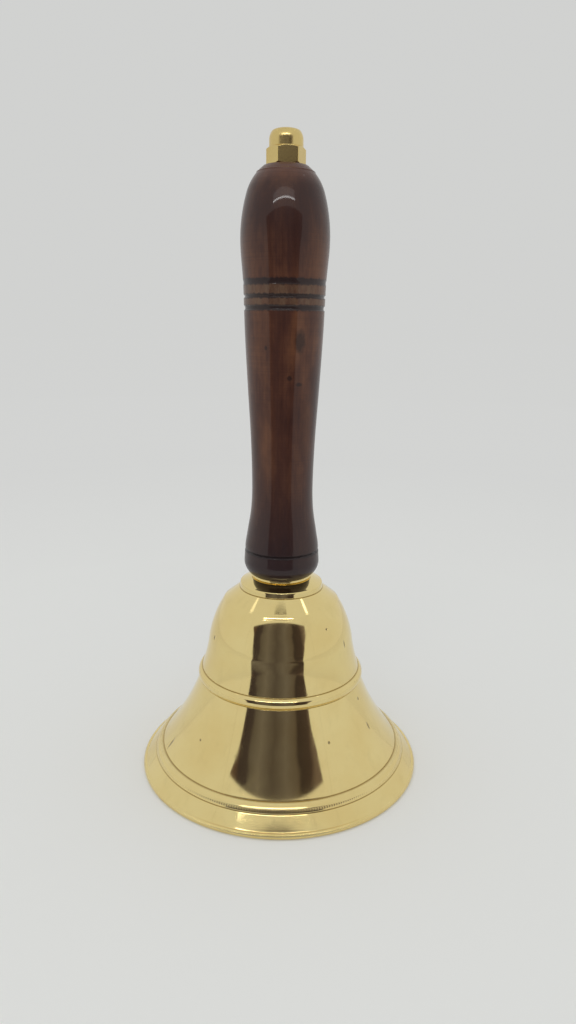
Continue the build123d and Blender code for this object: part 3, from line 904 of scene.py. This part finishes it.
finish_piece(brass_bell(), "bell", "polished_brass", [bell_skin, inner_skin], "bell_shell")
finish_piece(brass_collar(), "bell", "polished_brass", [plain_skin], "handle_collar")
finish_piece(brass_acorn_nut(), "bell", "nut_brass", [nut_skin], "acorn_nut")
finish_piece(turned_handle(), "bell", "dark_wood", [wood], "handle")
finish_piece(threaded_tie_rod(), "bell", "rod_steel", [plated], "tie_rod")
finish_piece(steel_crown_washer(), "bell", "rod_steel", [plated], "crown_washer")
finish_piece(hex_nut("steel_clamp_nut", "clamp_nut", CLAMP_FLATS, ROD_R + PLAY), "bell", "rod_steel",
             [plated], "clamp_nut")
finish_piece(hex_nut("steel_swivel_nut", "swivel_nut", SWIVEL_FLATS, SWIVEL_END_R + PLAY), "bell", "rod_steel",
             [plated], "swivel_nut")
finish_piece(bent_stirrup(), "hanger", "hanger_steel", [bare], "clapper_hanger")
finish_piece(riveted_pin(), "hanger", "hanger_steel", [bare], "hanger_pin")
finish_piece(clapper_rod(), "clapper", "hanger_steel", [bare], "clapper_stem")
finish_piece(striking_ball(), "clapper", "clapper_brass", [ball_skin], "clapper_ball")
finish_piece(hex_nut("steel_lock_nut", "ball_lock_nut", LOCK_FLATS, STEM_R + PLAY), "clapper", "rod_steel",
             [plated], "ball_lock_nut")


# ---- studio -------------------------------------------------------------------------------------

# Metres here. The light tent is what the photo's brass reflects: pale cloth walls, a lamp over an opening
# in front of the bell, two small lamps and a vent overhead.

CAMERA_DISTANCE = 0.2557
CAMERA_HEIGHT = 0.1601
CAMERA_TILT = 14.265              # degrees below level
CAMERA_TURN = -0.468
CAMERA_ROLL = 0.770
LENS = 26.25
SENSOR = 36

BACKDROP = (0.635, 0.64, 0.63)
FLOOR_PROFILE = ((0, 0), (0.15, 0), (0.4, 0), (0.8, 0), (1.2, 0.02), (1.5, 0.12), (1.75, 0.35), (1.9, 0.8),
                 (1.95, 1.6))
GAP = 0.01                        # keeps a sheet clear of the one behind it
FRONT = -0.51
WALL_LEFT, WALL_RIGHT = -0.75, 0.65
WALL_BACK = 0.60
CEILING = 0.72
OPENING = ((-0.45, -0.01), (-0.465, 0.08), (-0.49, 0.20), (-0.52, 0.30), (-0.62, 0.447), (0.50, 0.447),
           (0.45, 0.27), (0.40, 0.19), (0.38, 0.11), (0.335, -0.01))
TABLE_EDGE = ((-0.45, FRONT), (0.335, FRONT), (0.13, -0.19), (-0.175, -0.19))
LAMP_LEFT, LAMP_RIGHT = -0.36, 0.24
TUBE_LOW, TUBE_HIGH, STRIP_HIGH = 0.516, 0.534, 0.63
VENT = (-0.09, 0.075, -0.110, -0.102)    # left, right, front, back
ROOM_BANDS = ((0.10, (0.10, 0.065, 0.060)), (0.20, (0.045, 0.035, 0.045)), (0.30, (0.055, 0.045, 0.055)),
              (0.33, (0.10, 0.09, 0.10)), (0.44, (0.15, 0.14, 0.16)), (0.55, (0.085, 0.075, 0.085)),
              (0.66, (0.14, 0.13, 0.15)), (0.76, (0.11, 0.095, 0.10)), (0.79, (0.045, 0.035, 0.040)),
              (0.90, (0.06, 0.045, 0.050)), (0.96, (0.15, 0.12, 0.13)))


def glow(name, colour, strength=1.0):
    made = bpy.data.materials.new(name)
    made.use_nodes = True
    nodes = made.node_tree.nodes
    nodes.clear()
    light = nodes.new("ShaderNodeEmission")
    light.inputs["Color"].default_value = (*colour, 1)
    light.inputs["Strength"].default_value = strength
    output = nodes.new("ShaderNodeOutputMaterial")
    made.node_tree.links.new(light.outputs[0], output.inputs[0])
    return made


def panel(name, corners, material, seen_by_matt=True):
    """Flat sheet of the light tent: it lights the bell and shows in the brass, but not to the camera.

    One that is not seen by matt surfaces neither lights nor shades the floor.
    """
    mesh = bpy.data.meshes.new(name)
    mesh.from_pydata(corners, [], [tuple(range(len(corners)))])
    mesh.materials.append(material)
    made = bpy.data.objects.new(name, mesh)
    bpy.context.scene.collection.objects.link(made)
    made.visible_camera = False
    made.visible_diffuse = made.visible_shadow = seen_by_matt


def upright(name, start, end, low, high, material):
    """Upright sheet between two (x, y) points."""
    panel(name, [(*start, low), (*end, low), (*end, high), (*start, high)], material)


def level(name, left, right, front, back, height, material):
    """Level sheet."""
    corners = ((left, front), (right, front), (right, back), (left, back))
    panel(name, [(*corner, height) for corner in corners], material)


def studio_floor():
    """Pale table, plain from every side, whose far part fades into the backdrop."""
    made = lathe("studio_floor", [(r / MM, z / MM) for r, z in FLOOR_PROFILE], 96, closed=False)
    s = Shader("floor_paper")
    mottling = s.noise(s.scaled(3), detail=3)
    tint = s.mix(mottling, (0.865, 0.87, 0.86), (0.885, 0.89, 0.88))
    far = s.ramp(s.math("DIVIDE", s.r, 1000.0), (0.25, 0.0), (0.6, 1.0))
    made.data.materials.append(s.finish(
        Base_Color=s.mix(far, tint, (0, 0, 0)), Roughness=0.75, Specular_IOR_Level=0.05,
        Emission_Color=(*BACKDROP, 1), Emission_Strength=s.ramp(far, (0.0, 0.05), (1.0, 1.0))))


def overhead(name, azimuth, elevation, half, material):
    """Square just under the tent's top; azimuth in degrees from the front towards the right."""
    side, high = math.radians(azimuth), math.radians(elevation)
    reach = CEILING / math.tan(high)
    x, y = reach * math.sin(side), -reach * math.cos(side)
    level(name, x - half, x + half, y - half, y + half, CEILING - GAP, material)


def room_beyond():
    """Dim room seen through the tent's opening, in soft upright bands."""
    made = glow("room_beyond", (0.1, 0.1, 0.1))
    tree = made.node_tree
    place = tree.nodes.new("ShaderNodeTexCoord")
    blur = tree.nodes.new("ShaderNodeTexNoise")
    blur.inputs["Scale"].default_value = 5.0
    split = tree.nodes.new("ShaderNodeSeparateXYZ")
    shift = tree.nodes.new("ShaderNodeMath")
    shift.operation = "MULTIPLY_ADD"
    shift.inputs[1].default_value = 0.10
    bands = tree.nodes.new("ShaderNodeValToRGB")
    set_stops(bands.color_ramp, ROOM_BANDS)
    link = tree.links.new
    link(place.outputs["Generated"], split.inputs[0])
    link(place.outputs["Generated"], blur.inputs["Vector"])
    link(blur.outputs["Fac"], shift.inputs[0])
    link(split.outputs["X"], shift.inputs[2])
    link(shift.outputs[0], bands.inputs["Fac"])
    link(bands.outputs["Color"], tree.nodes["Emission"].inputs["Color"])
    return made


def light_tent():
    white = (1.0, 1.0, 1.0)
    cloth = glow("tent_cloth", (0.715, 0.72, 0.71))
    front_tube = glow("tent_front_tube", white, 14.0)
    front_lamp = glow("tent_front_lamp", white, 1.7)
    right_lamp = glow("tent_right_lamp", white, 2.4)
    left_lamp = glow("tent_left_lamp", white, 1.3)
    hole = glow("tent_vent", (0.06, 0.055, 0.05))
    room = room_beyond()
    behind, before = FRONT - GAP, FRONT + GAP
    upright("tent_left", (WALL_LEFT, FRONT), (WALL_LEFT, WALL_BACK), 0, CEILING, cloth)
    upright("tent_right", (WALL_RIGHT, FRONT), (WALL_RIGHT, WALL_BACK), 0, CEILING, cloth)
    upright("tent_back", (WALL_LEFT, WALL_BACK), (WALL_RIGHT, WALL_BACK), 0, CEILING, cloth)
    level("tent_top", WALL_LEFT, WALL_RIGHT, FRONT, WALL_BACK, CEILING, cloth)
    upright("tent_front", (WALL_LEFT, behind), (WALL_RIGHT, behind), 0, CEILING, cloth)
    panel("tent_opening", [(x, FRONT, z) for x, z in OPENING], room, seen_by_matt=False)
    panel("tent_table_edge", [(x, y, 0.002) for x, y in TABLE_EDGE], room, seen_by_matt=False)
    upright("tent_tube", (LAMP_LEFT, before), (LAMP_RIGHT, before), TUBE_LOW, TUBE_HIGH, front_tube)
    upright("tent_strip", (LAMP_LEFT, before), (LAMP_RIGHT, before), TUBE_HIGH, STRIP_HIGH, front_lamp)
    overhead("tent_lamp_right", 95, 64, 0.018, right_lamp)
    overhead("tent_lamp_left", -100, 60, 0.025, left_lamp)
    level("tent_vent", *VENT, CEILING - GAP, hole)


def photographer():
    data = bpy.data.cameras.new("camera")
    data.lens = LENS
    data.sensor_width = SENSOR
    data.clip_start = 0.01
    made = bpy.data.objects.new("camera", data)
    made.location = (0, -CAMERA_DISTANCE, CAMERA_HEIGHT)
    made.rotation_mode = "QUATERNION"
    aim = Euler((math.radians(90 - CAMERA_TILT), 0, math.radians(CAMERA_TURN))).to_quaternion()
    made.rotation_quaternion = aim @ Quaternion((0, 0, 1), math.radians(CAMERA_ROLL))
    bpy.context.scene.collection.objects.link(made)
    bpy.context.scene.camera = made


def backdrop():
    world = bpy.data.worlds.new("backdrop")
    world.use_nodes = True
    sky = world.node_tree.nodes["Background"]
    sky.inputs["Color"].default_value = (*BACKDROP, 1)
    sky.inputs["Strength"].default_value = 1.0
    bpy.context.scene.world = world


studio_floor()
light_tent()
backdrop()
photographer()
bpy.context.scene.view_settings.view_transform = "Standard"
